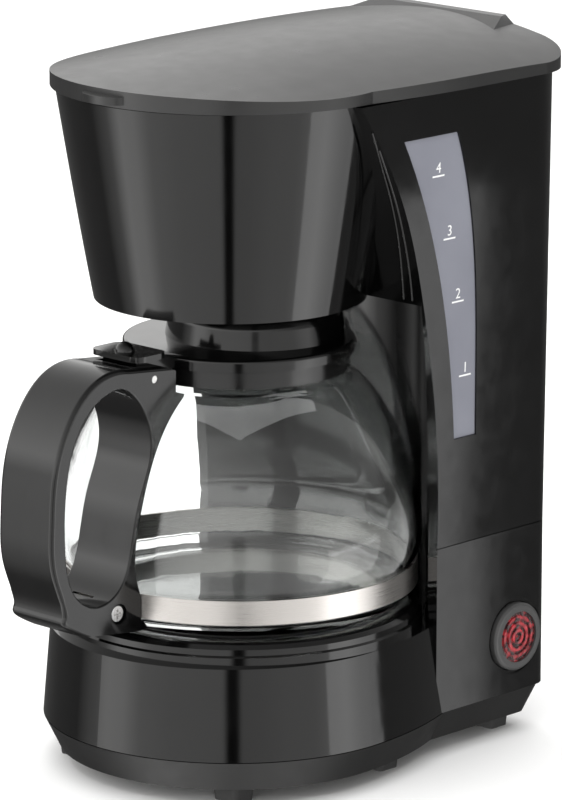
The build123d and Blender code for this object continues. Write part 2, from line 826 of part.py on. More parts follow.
dome_outer = lid_dome(0.0)
dome_inner = lid_dome(lid_wall)
with BuildPart() as lid_hollow:
    with BuildSketch(Plane.XY.offset(lid_floor_z)):
        add(lid_outline(lid_wall + 0.2))
    extrude(amount=20.0)
    add(dome_inner, mode=Mode.INTERSECT)
    with BuildSketch(Plane.XY.offset(lid_floor_z - 1.0)):
        with Locations((0, jug_y + rear_reach)):
            Rectangle(160.0, 32.0)
    extrude(amount=30.0, mode=Mode.SUBTRACT)

cover_low_half = 46.0         # hinge cover on the lid, a wedge that rises towards the rear
cover_top_half = 30.0
with BuildPart() as lid:
    with BuildSketch(Plane.XY.offset(lid_floor_z)):
        add(lid_outline(0.0))
    extrude(amount=20.0)
    add(dome_outer, mode=Mode.INTERSECT)
    add(lid_hollow.part, mode=Mode.SUBTRACT)
    with BuildSketch(Plane.XY.offset(lid_floor_z + 1.2)):
        with Locations((0, jug_y - 63.6)):
            Ellipse(9.5, 5.6)
    extrude(amount=2.6)
    with BuildSketch(Plane.XY.offset(lid_edge_z + 0.4)):
        Polygon(
            (-cover_low_half, jug_y + 70.5),
            (cover_low_half, jug_y + 70.5),
            (cover_low_half - 6.0, jug_y + rear_reach),
            (6.0 - cover_low_half, jug_y + rear_reach),
            align=None,
        )
    with BuildSketch(Plane.XY.offset(lid_peak_z)):
        Polygon(
            (-cover_top_half, jug_y + 101.0),
            (cover_top_half, jug_y + 101.0),
            (cover_top_half - 2.0, jug_y + rear_reach),
            (2.0 - cover_top_half, jug_y + rear_reach),
            align=None,
        )
    loft(ruled=True)
    with BuildSketch(Plane.XY.offset(lid_floor_z - 1.0)):
        with Locations((0, jug_y + 97.0 + 10.0)):
            Rectangle(160.0, 20.0)
    extrude(amount=3.1, mode=Mode.SUBTRACT)
    for side in (-1, 1):
        with BuildSketch(Plane.YZ.offset(side * lug_x - 2.9)):
            with Locations((hinge_y + 3.0, hinge_z - 1.0)):
                Rectangle(21.0, 12.0)
        extrude(amount=5.8, mode=Mode.SUBTRACT)
        with BuildSketch(Plane.YZ.offset(side * lug_x - 6.4)):
            with Locations((hinge_y, hinge_z)):
                Circle(hinge_pin_radius + 0.02)
        extrude(amount=12.8, mode=Mode.SUBTRACT)
finish(lid, "lid")

with BuildPart() as lid_hinge_pins:
    for side in (-1, 1):
        with BuildSketch(Plane.YZ.offset(side * lug_x - 6.0)):
            with Locations((hinge_y, hinge_z)):
                Circle(hinge_pin_radius)
        extrude(amount=12.0)
finish(lid_hinge_pins, "lid_hinge_pins")

# ---------------------------------------------------------------- jug
jug_base_z = plate_top_z + 0.1
band_low_z = 63.3
band_top_z = 71.8
band_seat = glass_radius - 1.8
jug_axis = Axis((0, jug_y, 0), (0, 0, 1))


def jug_body(inset, low_z, neck_top_z):
    """The glass body of revolution, or the space inside it when inset by the glass thickness."""
    with BuildPart() as body:
        with BuildSketch(Plane.XZ.offset(-jug_y)):
            with BuildLine():
                foot = ThreePointArc(
                    (51.0 - inset, low_z),
                    (58.0 - inset, low_z + 1.6),
                    (band_seat - inset, band_low_z - 0.4),
                )
                belly = Spline(
                    (band_seat - inset, band_top_z + 0.4),
                    (glass_radius - inset, 78.5),
                    (60.4 - inset, 101.7),
                    (50.0 - inset, 126.5),
                    (40.2 - inset, 137.4),
                )
                Line((0, low_z), foot @ 0)
                Line(foot @ 1, belly @ 0)
                Line(belly @ 1, (neck_radius - inset, collar_low_z - 0.5))
                Line((neck_radius - inset, collar_low_z - 0.5), (neck_radius - inset, neck_top_z))
                Line((neck_radius - inset, neck_top_z), (0, neck_top_z))
                Line((0, neck_top_z), (0, low_z))
            make_face()
        revolve(axis=jug_axis)
    return body.part


jug_outside = jug_body(0.0, jug_base_z, collar_top_z + 0.2)
jug_inside = jug_body(glass_wall, jug_base_z + glass_wall + 0.4, collar_top_z + 2.0)
with BuildPart() as glass_jug:
    add(jug_outside)
    add(jug_inside, mode=Mode.SUBTRACT)
finish(glass_jug, "glass_jug")

jug_clearance = jug_body(-0.2, jug_base_z - 0.2, collar_top_z + 4.0)
handle_half = 13.0
slot_half = 8.4
lid_pin_radius = 1.3
screw_y = jug_y - 71.7
screw_z = 66.9
tab_end_y = jug_y - 76.0
with BuildPart() as steel_band:
    with BuildSketch(Plane.XY.offset(band_low_z)):
        with Locations((0, jug_y)):
            Circle(band_seat + 0.75)
            Circle(band_seat + 0.1, mode=Mode.SUBTRACT)
        with Locations((0, jug_y - band_seat)):
            Rectangle(6.4, 8.0, mode=Mode.SUBTRACT)
        tab_y = (jug_y - band_seat - 0.2 + tab_end_y) / 2
        with Locations((-3.5, tab_y), (3.5, tab_y)):
            Rectangle(0.7, jug_y - band_seat - 0.2 - tab_end_y)
    extrude(amount=band_top_z - band_low_z)
    with BuildSketch(Plane.YZ.offset(-6.0)):
        with Locations((screw_y, screw_z)):
            Circle(1.7)
    extrude(amount=12.0, mode=Mode.SUBTRACT)
finish(steel_band, "steel_band")

with BuildPart() as collar_ring:
    with BuildSketch(Plane.XY.offset(collar_low_z)):
        with Locations((0, jug_y)):
            Circle(neck_radius + 1.7)
            Circle(neck_radius + 0.1, mode=Mode.SUBTRACT)
        with Locations((0, jug_y - neck_radius - 5.6)):
            Rectangle(12.0, 9.0)
    extrude(amount=collar_top_z - collar_low_z)
finish(collar_ring, "collar_ring")

grip_outer_y = jug_y - handle_reach
pin_y = jug_y - 54.0
pin_z = 145.6
with BuildPart() as jug_handle:
    with BuildSketch(Plane.YZ):
        with BuildLine():
            outer = Spline(
                (jug_y - 66.0, 151.0),
                (jug_y - 82.0, 148.9),
                (jug_y - 95.3, 135.0),
                (jug_y - 101.2, 118.0),
                (grip_outer_y, 101.5),
                (jug_y - 101.4, 85.0),
                (jug_y - 96.9, 70.5),
                (jug_y - 88.0, 62.0),
                tangents=((-1, 0.2), (1, -0.5)),
            )
            Polyline(
                outer @ 1,
                (jug_y - 62.9, 59.0),
                (jug_y - 40.0, 60.0),
                (jug_y - 40.0, 138.2),
                (jug_y - 44.0, 138.2),
                (jug_y - 44.0, 147.0),
                (jug_y - 50.0, 149.4),
                outer @ 0,
            )
        make_face()
        with BuildLine():
            Spline(
                (jug_y - 73.5, 144.6),
                (jug_y - 87.0, 136.6),
                (jug_y - 95.6, 113.0),
                (jug_y - 96.2, 94.0),
                (jug_y - 92.0, 77.5),
                (jug_y - 82.0, 71.4),
                (jug_y - 71.0, 75.5),
                (jug_y - 65.6, 88.0),
                (jug_y - 61.6, 104.0),
                (jug_y - 55.8, 121.0),
                (jug_y - 60.5, 137.5),
                periodic=True,
            )
        make_face(mode=Mode.SUBTRACT)
    extrude(amount=handle_half, both=True)
    add(jug_clearance, mode=Mode.SUBTRACT)
    with BuildSketch(Plane.XY.offset(band_low_z - 0.5)):
        with Locations((0, jug_y)):
            Circle(band_seat + 0.95)
    extrude(amount=band_top_z - band_low_z + 1.0, mode=Mode.SUBTRACT)
    rims = jug_handle.faces().filter_by(Axis.X)
    hole_edges = [wire.edges() for face in rims for wire in face.inner_wires()]
    fillet([edge for edges in hole_edges for edge in edges if edge.length > 60.0], 0.5)
    rims = jug_handle.faces().filter_by(Axis.X)
    fillet([edge for face in rims for edge in face.outer_wire().edges() if edge.length > 60.0], 1.5)
    with BuildSketch(Plane.YZ.offset(-5.0)):
        with Locations(((jug_y - 58.0 + tab_end_y) / 2 - 0.6, (band_low_z + band_top_z) / 2)):
            Rectangle(jug_y - 58.0 - tab_end_y, band_top_z - band_low_z + 1.2)
    extrude(amount=10.0, mode=Mode.SUBTRACT)
    with BuildSketch(Plane.YZ.offset(-handle_half)):
        with Locations((screw_y, screw_z)):
            Circle(1.7)
    extrude(amount=2.0 * handle_half, mode=Mode.SUBTRACT)
    with BuildSketch(Plane.YZ.offset(handle_half - 2.6)):
        with Locations((screw_y, screw_z)):
            Circle(3.6)
    extrude(amount=4.0, mode=Mode.SUBTRACT)
    with BuildSketch(Plane.YZ.offset(-handle_half + 3.0)):
        with Locations((screw_y, screw_z)):
            RegularPolygon(3.2, 6)
    extrude(amount=-4.0, mode=Mode.SUBTRACT)
    with BuildSketch(Plane.XY.offset(collar_low_z - 0.1)):
        with Locations((0, jug_y - neck_radius - 5.6)):
            Rectangle(12.4, 9.4)
    extrude(amount=collar_top_z - collar_low_z + 0.2, mode=Mode.SUBTRACT)
    with BuildSketch(Plane.YZ.offset(-slot_half)):
        with Locations((pin_y - 0.4, pin_z + 5.0)):
            Rectangle(14.0, 17.6)
        with Locations((jug_y - 45.0, collar_top_z + 8.1)):
            Rectangle(8.0, 16.0)
    extrude(amount=2.0 * slot_half, mode=Mode.SUBTRACT)
    with BuildSketch(Plane.YZ.offset(-handle_half)):
        with Locations((pin_y, pin_z)):
            Circle(lid_pin_radius + 0.05)
    extrude(amount=2.0 * handle_half, mode=Mode.SUBTRACT)
finish(jug_handle, "jug_handle")

with BuildPart() as handle_screw:
    with BuildSketch(Plane.YZ.offset(handle_half - 2.5)):
        with Locations((screw_y, screw_z)):
            Circle(2.7)
    extrude(amount=1.7)
    with BuildSketch(Plane.YZ.offset(handle_half - 1.5)):
        with Locations((screw_y, screw_z)):
            Rectangle(3.4, 0.7)
            Rectangle(0.7, 3.4)
    extrude(amount=2.0, mode=Mode.SUBTRACT)
    with BuildSketch(Plane.YZ.offset(-handle_half + 0.8)):
        with Locations((screw_y, screw_z)):
            Circle(1.5)
    extrude(amount=2.0 * handle_half - 3.1)
finish(handle_screw, "handle_screw")

with BuildPart() as handle_nut:
    with BuildSketch(Plane.YZ.offset(-handle_half + 2.9)):
        with Locations((screw_y, screw_z)):
            RegularPolygon(3.0, 6)
            Circle(1.52, mode=Mode.SUBTRACT)
    extrude(amount=-2.2)
finish(handle_nut, "handle_nut")

lid_plate_z = collar_top_z + 0.5
lid_plate_top_z = lid_plate_z + 4.2
crown_y = jug_y + 8.0
crown_radius = 31.5
crown_top_z = 161.4
barrel_half = slot_half - 0.3
lever_reach = 61.0            # jug axis to the front edge of the thumb lever
with BuildPart() as jug_lid:
    with BuildSketch(Plane.XY.offset(lid_plate_z)):
        with Locations((0, jug_y)):
            Circle(neck_radius + 3.6)
        Polygon(
            (-26.0, jug_y + 30.0), (26.0, jug_y + 30.0), (8.0, jug_y + 46.0), (-8.0, jug_y + 46.0), align=None
        )
    extrude(amount=lid_plate_top_z - lid_plate_z)
    fillet(jug_lid.edges().group_by(Axis.Z)[-1], 1.2)
    with BuildSketch(Plane.XY.offset(lid_plate_top_z)):
        with Locations((0, crown_y)):
            Circle(crown_radius)
    extrude(amount=crown_top_z - lid_plate_top_z, taper=9.0)
    fillet(jug_lid.edges().group_by(Axis.Z)[-1], 5.5)
    with BuildSketch(Plane.XY.offset(lid_plate_z)):
        with Locations((0, jug_y)):
            Circle(neck_radius - glass_wall - 0.5)
    extrude(amount=-4.0)
    with BuildSketch(Plane.XY.offset(lid_plate_z - 4.0)):
        with Locations((0, crown_y)):
            Circle(crown_radius - 6.0)
    extrude(amount=crown_top_z - lid_plate_z + 4.0 - 2.0, mode=Mode.SUBTRACT)
    with BuildSketch(Plane.XY.offset(crown_top_z - 4.0)):
        with Locations((0, head_y)):
            Circle(4.5)
    extrude(amount=8.0, mode=Mode.SUBTRACT)
    with BuildSketch(Plane.YZ.offset(-barrel_half)):
        with Locations((pin_y, pin_z)):
            Circle(3.2)
        Polygon(
            (pin_y - 3.2, pin_z),
            (pin_y + 3.2, pin_z),
            (pin_y + 4.4, lid_plate_z + 0.6),
            (jug_y - 36.0, lid_plate_z + 0.6),
            (jug_y - 36.0, lid_plate_top_z),
            (jug_y - 48.0, lid_plate_top_z + 2.6),
            (jug_y - lever_reach, lid_plate_top_z + 3.6),
            (jug_y - lever_reach, lid_plate_top_z + 1.6),
            (pin_y - 4.0, lid_plate_top_z + 1.2),
            align=None,
        )
    extrude(amount=2.0 * barrel_half)
    with BuildSketch(Plane.XY.offset(lid_plate_top_z + 1.6)):
        with Locations((0, jug_y - (lever_reach + 46.0) / 2)):
            RectangleRounded(2.0 * handle_half - 2.0, lever_reach - 46.0, 4.0)
    extrude(amount=2.0)
    fillet(jug_lid.edges().filter_by(Plane.XY).group_by(Axis.Z)[-2], 0.6)
    with Locations((0, jug_y - 55.5, lid_plate_top_z + 3.4)):
        Sphere(3.4)
    with BuildSketch(Plane.YZ.offset(-barrel_half)):
        with Locations((pin_y, pin_z)):
            Circle(lid_pin_radius + 0.05)
    extrude(amount=2.0 * barrel_half, mode=Mode.SUBTRACT)
finish(jug_lid, "jug_lid")

with BuildPart() as jug_lid_pin:
    with BuildSketch(Plane.YZ.offset(-handle_half + 0.2)):
        with Locations((pin_y, pin_z)):
            Circle(lid_pin_radius)
    extrude(amount=2.0 * handle_half - 0.4)
finish(jug_lid_pin, "jug_lid_pin")
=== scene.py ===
# %% [markdown]
# # A four-cup drip coffee maker
#
# The working model of the machine, with all its separate mouldings, comes ready made in metres. This lesson
# dresses it: it looks real only if the gloss plastic, the blown glass and the brushed steel each answer the
# light in their own way. We load the model first.

# %% Load the machine
import math

import bpy
from mathutils import Matrix, Vector


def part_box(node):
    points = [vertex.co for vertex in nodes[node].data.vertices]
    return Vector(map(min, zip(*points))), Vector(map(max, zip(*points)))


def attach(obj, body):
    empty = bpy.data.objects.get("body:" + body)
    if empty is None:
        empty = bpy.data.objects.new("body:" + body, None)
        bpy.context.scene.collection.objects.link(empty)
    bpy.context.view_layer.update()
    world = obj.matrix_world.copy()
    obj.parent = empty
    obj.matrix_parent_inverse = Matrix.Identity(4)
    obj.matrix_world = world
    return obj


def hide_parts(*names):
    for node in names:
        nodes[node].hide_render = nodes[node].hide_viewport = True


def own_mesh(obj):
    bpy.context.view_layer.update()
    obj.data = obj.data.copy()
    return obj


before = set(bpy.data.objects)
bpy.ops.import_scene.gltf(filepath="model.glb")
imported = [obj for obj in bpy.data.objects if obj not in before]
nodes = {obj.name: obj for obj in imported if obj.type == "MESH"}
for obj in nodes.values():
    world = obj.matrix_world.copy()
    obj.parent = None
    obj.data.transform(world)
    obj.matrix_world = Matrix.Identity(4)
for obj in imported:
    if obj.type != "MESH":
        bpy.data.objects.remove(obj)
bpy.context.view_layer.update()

# %% [markdown]
# The whole machine shares a few facts: the axis that the jug, the hotplate and the brew head are turned about,
# and the line from that axis towards the viewer. The boxes of the band and the glass give the axis, and the
# viewing line is a heading turned 44 degrees from straight ahead.

# %% Shared places
band_low, band_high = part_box("steel_band")
jug_low, jug_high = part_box("glass_jug")
jug_radius = (jug_high.x - jug_low.x) / 2
jug_axis = Vector(((band_low.x + band_high.x) / 2, jug_high.y - jug_radius, 0.0))
heading = math.radians(44.04)
to_viewer = Vector((math.sin(heading), -math.cos(heading), 0.0))
to_right = Vector((math.cos(heading), math.sin(heading), 0.0))
print("jug axis", tuple(round(v, 4) for v in jug_axis))


# %% [markdown]
# ## Writing shader maths as plain sums
#
# A procedural finish is a small sum: some noise, times a depth, plus a base value. Wiring Math nodes by hand
# hides that sum, so this class wraps a socket and lets Python's own + - * / add the nodes. The reflected forms
# make `1 - mask` work as well.

# %% A socket that can be added and multiplied
class Value:
    def __init__(self, tree, socket):
        self.tree = tree
        self.socket = socket

    def maths(self, operation, *others, swap=False):
        node = self.tree.nodes.new("ShaderNodeMath")
        node.operation = operation
        terms = [self, *others]
        if swap:
            terms.reverse()
        for term, slot in zip(terms, node.inputs):
            if isinstance(term, Value):
                self.tree.links.new(term.socket, slot)
            else:
                slot.default_value = term
        return Value(self.tree, node.outputs[0])

    def __add__(self, other):
        return self.maths("ADD", other)

    def __sub__(self, other):
        return self.maths("SUBTRACT", other)

    def __mul__(self, other):
        return self.maths("MULTIPLY", other)

    def __truediv__(self, other):
        return self.maths("DIVIDE", other)

    def __rsub__(self, other):
        return self.maths("SUBTRACT", other, swap=True)

    __radd__ = __add__
    __rmul__ = __mul__

    def held(self, low=0.0, high=1.0):
        """The value kept between two limits."""
        return self.maths("MAXIMUM", low).maths("MINIMUM", high)


# %% [markdown]
# Every other node comes from one method, `make`. It takes the node's type, then its settings, then the numbers
# or links of its sockets. A socket is given by its name, or by its number where a node has several sockets of
# one name. The usual chains, such as noise on the piece's own coordinates, get short methods of their own.

# %% One method for every other node
def socket_of(node, name):
    """A socket by its name, with _ for a space, or by its number, as in i0."""
    if name[0] == "i" and name[1:].isdigit():
        return node.inputs[int(name[1:])]
    return node.inputs[name.replace("_", " ")]


def set_ramp(ramp, stops):
    """Gives a colour ramp its stops, each a place and a colour."""
    while len(ramp.elements) < len(stops):
        ramp.elements.new(0.5)
    for element, (place, shade) in zip(ramp.elements, stops):
        element.position = place
        element.color = (*shade, 1.0)


class Shader:
    def __init__(self, tree):
        self.tree = tree

    def make(self, kind, out=0, settings=(), **values):
        node = self.tree.nodes.new("ShaderNode" + kind)
        for name, setting in dict(settings).items():
            if name == "stops":
                set_ramp(node.color_ramp, setting)
            else:
                setattr(node, name, setting)
        for name, value in values.items():
            socket = socket_of(node, name)
            if isinstance(value, Value):
                self.tree.links.new(value.socket, socket)
            else:
                socket.default_value = value
        return Value(self.tree, node.outputs[out])

    def place(self):
        """Object coordinates."""
        return self.make("TexCoord", out=3)

    def stretched(self, scale, centre=(0.0, 0.0, 0.0)):
        shift = tuple(-c * s for c, s in zip(centre, scale))
        return self.make("Mapping", Vector=self.place(), Location=shift, Scale=scale)

    def length(self, vector):
        return self.make("VectorMath", out=1, settings={"operation": "LENGTH"}, Vector=vector)

    def noise(self, scale, detail=2.0, where=None):
        return self.make("TexNoise", Vector=where or self.place(), Scale=scale, Detail=detail)

    def tint(self, mask, dark, light):
        """The dark colour where the mask is 0, and the light one where it is 1."""
        colours = {"i6": (*dark, 1.0), "i7": (*light, 1.0)}
        return self.make("Mix", out=2, settings={"data_type": "RGBA"}, i0=mask.held(), **colours)

    def bump(self, height, depth, strength=1.0):
        return self.make("Bump", Height=height, Distance=depth, Strength=strength)


# %% [markdown]
# Every finish starts the same way: a material with one Principled BSDF. Numbers that are the same all over are
# set on its sockets, and only what changes over the surface is linked.

# %% A new material with its one shader
def new_finish(name, **fixed):
    material = bpy.data.materials.new(name)
    material.use_nodes = True
    tree = material.node_tree
    principled = tree.nodes["Principled BSDF"]
    for socket, number in fixed.items():
        principled.inputs[socket.replace("_", " ")].default_value = number
    return material, Shader(tree), principled


def feed(shader, principled, **sums):
    for socket, value in sums.items():
        shader.tree.links.new(value.socket, principled.inputs[socket.replace("_", " ")])


def dress(material, *names):
    for name in names:
        mesh = nodes[name].data
        mesh.materials.clear()
        mesh.materials.append(material)
    print(material.name, "on", ", ".join(names))


# %% [markdown]
# ## Moulded plastic
#
# Most of the machine is injection-moulded plastic. Gloss parts come from polished steel moulds, so they are
# nearly mirror smooth, with a faint orange-peel ripple and a little dust and handling haze in the roughness.
# Satin and matt parts come from etched moulds, whose grain is a few tenths of a millimetre across. One function
# covers them all, because only the colour, the roughness and the grain differ.

# %% The plastic recipe
cloud_scale = 38.0
smudge_scale = 140.0


def moulded_plastic(name, dark, light, roughness, haze, grain, depth, **fixed):
    """Colours from dark to light, roughness up to roughness + haze, and grain as bumps per metre."""
    material, shader, principled = new_finish(name, **fixed)
    clouds = shader.noise(cloud_scale, 4.0)
    smudge = shader.noise(smudge_scale, 3.0)
    skin = shader.noise(grain, 2.0)
    feed(
        shader,
        principled,
        Base_Color=shader.tint(clouds * 1.6 - 0.3, dark, light),
        Roughness=(smudge * 1.8 - 0.4).held() * haze + roughness,
        Normal=shader.bump(skin, depth),
    )
    return material


def grey(level, warm=0.0):
    return (level * (1 + warm), level, level * (1 - warm))


# %% [markdown]
# The casing and the jug's mouldings are gloss, with a slow ripple. The lid, the bottom plate and the button are
# satin or matt, with a fine grain. Inside, plain moulded parts are matt black or natural white, and the tank is
# a milky plastic that lets some light through.

# %% Casing, lid, jug mouldings and inner parts
gloss_black = moulded_plastic(
    "gloss_black", grey(0.0012), grey(0.003), roughness=0.055, haze=0.05, grain=110.0, depth=0.000006
)
satin_black = moulded_plastic(
    "satin_black_lid", grey(0.014), grey(0.020), roughness=0.27, haze=0.05, grain=2600.0, depth=0.00002
)
jug_black = moulded_plastic(
    "jug_gloss_black", grey(0.0015), grey(0.004), roughness=0.08, haze=0.06, grain=120.0, depth=0.000008
)
floor_black = moulded_plastic(
    "base_matt_black", grey(0.006), grey(0.011), roughness=0.32, haze=0.10, grain=1800.0, depth=0.00003
)
inner_black = moulded_plastic(
    "inner_matt_black", grey(0.010), grey(0.018), roughness=0.45, haze=0.12, grain=2200.0, depth=0.00003
)
collar_plastic = moulded_plastic(
    "collar_dark_grey", grey(0.004), grey(0.008), roughness=0.14, haze=0.06, grain=380.0, depth=0.00002
)
button_plastic = moulded_plastic(
    "button_grey", grey(0.040), grey(0.055), roughness=0.30, haze=0.08, grain=2400.0, depth=0.00002
)
natural_plastic = moulded_plastic(
    "natural_white", grey(0.55, 0.04), grey(0.66, 0.03),
    roughness=0.40, haze=0.10, grain=1500.0, depth=0.00002,
)
tank_plastic = moulded_plastic(
    "tank_translucent", grey(0.62), grey(0.72), roughness=0.30, haze=0.10, grain=900.0, depth=0.00002,
    Transmission_Weight=0.55, IOR=1.49,
)
dress(gloss_black, "main_housing", "base_shell")
dress(satin_black, "lid")
dress(jug_black, "jug_handle", "jug_lid")
dress(floor_black, "bottom_plate")
dress(inner_black, "filter_holder", "switch_body", "cord_gland")
dress(collar_plastic, "collar_ring")
dress(button_plastic, "power_button")
dress(natural_plastic, "shower_arm", "drip_stop_stem")
dress(tank_plastic, "water_tank")

# %% [markdown]
# ## Rubber and silicone
#
# Rubber scatters light from a powdery skin, so it is rough with a soft mottled colour. The same recipe in other
# colours makes the silicone seals and hoses, the woven sleeve of the fuse and the ceramic of the thermostat.

# %% Soft pieces
def soft_rubber(name, dark, light, roughness):
    return moulded_plastic(name, dark, light, roughness, haze=0.15, grain=3000.0, depth=0.00004)


foot_rubber = soft_rubber("foot_rubber", grey(0.012), grey(0.022), 0.62)
silicone_red = soft_rubber("silicone_red", (0.30, 0.030, 0.015), (0.40, 0.045, 0.025), 0.48)
silicone_grey = soft_rubber("silicone_grey", grey(0.42), grey(0.55), 0.45)
fibre_sleeve = soft_rubber("fibre_sleeve", grey(0.50, 0.12), grey(0.64, 0.10), 0.80)
ceramic_white = soft_rubber("ceramic_white", grey(0.66, 0.02), grey(0.76, 0.01), 0.30)
dress(foot_rubber, "rubber_feet")
dress(silicone_red, "hotplate_gasket", "drip_stop_seal")
dress(silicone_grey, "cold_hose", "hot_hose", "check_valve", "riser_tube")
dress(fibre_sleeve, "thermal_fuse")
dress(ceramic_white, "thermostat")


# %% [markdown]
# ## Metals
#
# The band is rolled and brushed along its length, so its scratches run round the jug: noise that is stretched
# hugely along the turn and squeezed along the height gives them. The angle round the axis comes from the
# piece's own coordinates.

# %% Brushed band
scratches_per_radian = 3.0
scratches_per_metre = 9000.0
band_steel, shader, principled = new_finish("band_brushed_steel", Metallic=1.0)
from_axis = shader.stretched((1.0, 1.0, 1.0), centre=tuple(jug_axis))
sideways = shader.make("SeparateXYZ", Vector=from_axis)
backwards = Value(shader.tree, sideways.socket.node.outputs[1])
height = Value(shader.tree, sideways.socket.node.outputs[2])
turn = backwards.maths("ARCTAN2", sideways)
scratch_place = shader.make("CombineXYZ", X=turn * scratches_per_radian, Y=height * scratches_per_metre, Z=0.0)
scratches = shader.noise(1.0, 3.0, where=scratch_place)
patches = shader.noise(60.0, 3.0)
feed(
    shader,
    principled,
    Base_Color=shader.tint(scratches * 0.7 + patches * 0.5 - 0.1, (0.48, 0.455, 0.435), (0.64, 0.615, 0.59)),
    Roughness=scratches * 0.16 + patches * 0.06 + 0.18,
    Normal=shader.bump(scratches, 0.00002),
)
dress(band_steel, "steel_band")


# %% [markdown]
# Screws, pins, springs and the cast heater are too small for a brushed direction to show. An even, fine
# mottling in the roughness, with a slower one in the colour, is enough, and its grain suits each metal.

# %% Small metal fittings
def plain_metal(name, dark, light, roughness, grain):
    material, shader, principled = new_finish(name, Metallic=1.0)
    rubbed = shader.noise(grain, 5.0)
    clouds = shader.noise(grain * 0.12, 3.0)
    feed(
        shader,
        principled,
        Base_Color=shader.tint(clouds * 1.4 - 0.2, dark, light),
        Roughness=rubbed * 0.2 + roughness,
        Normal=shader.bump(rubbed, 0.00001),
    )
    return material


pin_steel = plain_metal("pin_steel", grey(0.58, 0.01), grey(0.74, 0.01), 0.14, 900.0)
zinc_plate = plain_metal("zinc_plate", (0.46, 0.47, 0.50), (0.62, 0.63, 0.64), 0.26, 1400.0)
spring_wire = plain_metal("spring_wire", grey(0.40), grey(0.55), 0.24, 2600.0)
cast_aluminium = plain_metal("cast_aluminium", grey(0.42), grey(0.56), 0.42, 2000.0)
dress(pin_steel, "handle_screw", "jug_lid_pin", "lid_hinge_pins")
dress(zinc_plate, "base_screws", "housing_screws", "heater_clamp", "clamp_nut", "handle_nut", "switch_bracket")
dress(spring_wire, "drip_stop_spring", "hose_clips")
dress(cast_aluminium, "heating_element", "heater_water_tube")

# %% [markdown]
# ## The hotplate
#
# A pressed plate with a baked non-stick coat: black, half gloss, with a fine sparkle of grain and faint rings
# where jugs have stood.

# %% Coated plate
wear_ring_pitch = 0.0016
plate_coat, shader, principled = new_finish("plate_coating", Specular_IOR_Level=0.45)
radius = shader.length(shader.stretched((1.0, 1.0, 0.0), centre=tuple(jug_axis)))
wear_rings = (radius * 2 * math.pi / wear_ring_pitch).maths("SINE")
speckle = shader.noise(5200.0, 2.0)
feed(
    shader,
    principled,
    Base_Color=shader.tint(speckle * 1.5 - 0.25, grey(0.006), grey(0.022)),
    Roughness=wear_rings * 0.03 + speckle * 0.10 + 0.26,
    Normal=shader.bump(speckle, 0.00002),
)
dress(plate_coat, "hotplate")

# %% [markdown]
# ## Blown glass
#
# The jug is clear borosilicate. What makes it read as glass is what it bends and mirrors, so its shader is
# almost nothing: full transmission, a very faint slow ripple, because blown walls are never quite even, and a
# trace of film from handling.

# %% Jug glass
jug_glass, shader, principled = new_finish("jug_glass", Transmission_Weight=1.0, IOR=1.52)
slow = shader.noise(42.0, 1.0)
film = shader.noise(90.0, 3.0)
feed(
    shader,
    principled,
    Base_Color=shader.tint(slow, (0.955, 0.975, 0.97), (0.99, 1.0, 0.995)),
    Roughness=(film * 2.0 - 0.9).held() * 0.015,
    Normal=shader.bump(slow, 0.00025, 0.5),
)
dress(jug_glass, "glass_jug")

# %% [markdown]
# ## Frosted window
#
# The water window is a strip of frosted grey-blue plastic. Real frosting lets light in and blurs it, and a
# translucent shader could do the same. Nothing behind the strip needs to show, though, so it is a plain matt
# grey-blue, with a slow clouding and a fine grain.

# %% Window strip
window_low, window_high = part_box("water_window")
frost, shader, principled = new_finish("window_frosted", Specular_IOR_Level=0.4)
cloud = shader.noise(30.0, 3.0)
fine = shader.noise(4200.0, 2.0)
feed(
    shader,
    principled,
    Base_Color=shader.tint(cloud * 1.5 - 0.25, (0.190, 0.195, 0.232), (0.240, 0.247, 0.288)),
    Roughness=fine * 0.12 + 0.40,
    Normal=shader.bump(fine, 0.00002),
)
dress(frost, "water_window")

# %% [markdown]
# The strip leans outwards as it rises. Its slope is measured here once, as three directions: up the strip,
# across it, and straight out of it. The level scale is laid on it with these.

# %% Slope of the strip
end_zone = 0.001
strip_points = [vertex.co.copy() for vertex in nodes["water_window"].data.vertices]
foot_x = max(p.x for p in strip_points if p.z < window_low.z + end_zone)
head_x = max(p.x for p in strip_points if p.z > window_high.z - end_zone)
strip_rise = Vector((head_x - foot_x, 0.0, window_high.z - window_low.z))
strip_up = strip_rise.normalized()
strip_across = Vector((0.0, 1.0, 0.0))
strip_out = strip_across.cross(strip_up)
print("strip rises", round(strip_rise.z, 4), "and leans out", round(strip_rise.x, 4))

# %% [markdown]
# ## Wing beads
#
# Beside the window, two fine moulded beads run down the swept front edge of each wing, drawing together
# towards the lid. Each is a smooth curve with a round section, about half sunk in the housing. A curve with
# thickness is the simplest way to a slim even bead, and it is then turned into a mesh.

# %% Two beads on each wing
bead_radius = 0.0005
bead_routes = {
    "outer": [
        (0.0620, 0.0026, 0.223), (0.0605, 0.0096, 0.2109), (0.0596, 0.0152, 0.1993),
        (0.0584, 0.0204, 0.1851), (0.0570, 0.0245, 0.1715), (0.0566, 0.0253, 0.1668),
    ],
    "inner": [
        (0.0630, -0.0019, 0.2297), (0.0597, 0.0065, 0.2163), (0.0578, 0.0135, 0.2030),
        (0.0560, 0.0192, 0.1888), (0.0530, 0.0247, 0.1697), (0.0526, 0.0253, 0.1668),
    ],
}


def pick_up(piece):
    """Puts a new piece in the scene, as the only one that operators act on."""
    bpy.context.scene.collection.objects.link(piece)
    bpy.ops.object.select_all(action="DESELECT")
    bpy.context.view_layer.objects.active = piece
    piece.select_set(True)


